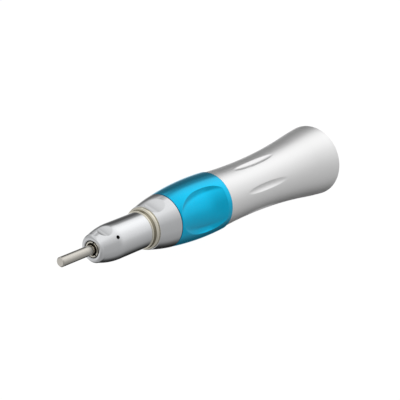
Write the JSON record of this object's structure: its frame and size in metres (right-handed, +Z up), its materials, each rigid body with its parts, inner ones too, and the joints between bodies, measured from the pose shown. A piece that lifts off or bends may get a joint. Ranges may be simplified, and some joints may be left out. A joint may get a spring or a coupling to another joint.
{
  "type": "straight dental handpiece",
  "caption": "Slim straight dental handpiece with a pocketed twist grip that opens its collet chuck, a flared socket for the motor at the rear and a plain shank held in the nose.",
  "frame": {"origin": "centre of the round mouth of the motor socket, on the rear rim's plane", "axes": "+X along the handpiece's axis, out of the socket towards the motor; the nose points to -X; +Z up, through the index pin in the socket"},
  "size_m": [0.0966, 0.019, 0.019],
  "materials": {
    "chrome": "polished chrome plate",
    "satin_chrome": "pearl-blasted satin chrome",
    "nickel": "warm bright nickel",
    "blue_anodise": "bright blue anodised",
    "hard_steel": "ground stainless steel",
    "bearing_steel": "polished bearing steel",
    "spring_steel": "drawn spring steel",
    "brass": "turned brass",
    "nitrile": "smooth black nitrile",
    "cage_resin": "moulded bearing cage",
    "shank_steel": "ground shank steel"
  },
  "bodies": {
    "casing": {"nose_cap": "chrome", "nose_o_ring": "nitrile", "seat_ring": "nickel", "front_casing": "chrome", "inner_frame": "hard_steel", "grip_o_ring": "nitrile", "rear_housing": "satin_chrome", "motor_sleeve": "brass", "index_pin": "hard_steel", "front_outer_race": "bearing_steel", "middle_outer_race": "bearing_steel", "outer_spacer": "brass", "rear_outer_race": "bearing_steel", "rear_spacer": "brass", "preload_washer": "spring_steel", "bearing_nut": "brass"},
    "grip": {"grip_ring": "blue_anodise", "cam_sleeve": "hard_steel"},
    "cam": {"cam_collar": "brass", "cam_pins": "hard_steel"},
    "spindle": {"spindle": "hard_steel", "front_inner_race": "bearing_steel", "middle_inner_race": "bearing_steel", "inner_spacer": "brass", "race_circlip": "spring_steel", "rear_inner_race": "bearing_steel", "spring_seat": "hard_steel", "spring_circlip": "spring_steel", "chuck_spring": "spring_steel", "dog_pin": "hard_steel", "dog_spring": "spring_steel"},
    "front_cage": {"front_cage": "cage_resin", "front_balls": "bearing_steel"},
    "middle_cage": {"middle_cage": "cage_resin", "middle_balls": "bearing_steel"},
    "rear_cage": {"rear_cage": "cage_resin", "rear_balls": "bearing_steel"},
    "chuck": {"collet": "hard_steel", "cross_pin": "hard_steel", "thrust_ring": "hard_steel"},
    "dog": {"drive_dog": "hard_steel"},
    "shank": {"shank": "shank_steel"}
  },
  "joints": [
    {"name": "spindle_spin", "type": "hinge", "parent": "casing", "child": "spindle", "pos_m": [-0.06, 0, 0], "axis": [-1, 0, 0], "continuous": true},
    {"name": "front_cage_spin", "type": "hinge", "parent": "casing", "child": "front_cage", "pos_m": [-0.0806, 0, 0], "axis": [-1, 0, 0], "continuous": true},
    {"name": "middle_cage_spin", "type": "hinge", "parent": "casing", "child": "middle_cage", "pos_m": [-0.0772, 0, 0], "axis": [-1, 0, 0], "continuous": true},
    {"name": "rear_cage_spin", "type": "hinge", "parent": "casing", "child": "rear_cage", "pos_m": [-0.0374, 0, 0], "axis": [-1, 0, 0], "continuous": true},
    {"name": "cam_slide", "type": "slide", "parent": "casing", "child": "cam", "axis": [-1, 0, 0], "range_m": [0, 0.0016]},
    {"name": "grip_twist", "type": "hinge", "parent": "casing", "child": "grip", "pos_m": [-0.0534, 0, 0], "axis": [1, 0, 0], "range_deg": [0, 40]},
    {"name": "chuck_slide", "type": "slide", "parent": "spindle", "child": "chuck", "axis": [-1, 0, 0], "range_m": [0, 0.00115], "deforming": ["chuck_spring"]},
    {"name": "dog_slide", "type": "slide", "parent": "spindle", "child": "dog", "axis": [-1, 0, 0], "range_m": [0, 0.0015], "stiffness_N_per_m": 800, "springref_m": -0.001, "deforming": ["dog_spring"]},
    {"name": "shank_draw", "type": "slide", "parent": "chuck", "child": "shank", "axis": [-1, 0, 0], "range_m": [0, 0.028]}
  ],
  "couplings": [
    {"joint": "front_cage_spin", "follows": "spindle_spin", "ratio": 0.4126},
    {"joint": "middle_cage_spin", "follows": "spindle_spin", "ratio": 0.4126},
    {"joint": "rear_cage_spin", "follows": "spindle_spin", "ratio": 0.3862},
    {"joint": "grip_twist", "follows": "cam_slide", "rad_per_m": 436.33},
    {"joint": "chuck_slide", "follows": "cam_slide", "ratio": 0.71875}
  ]
}
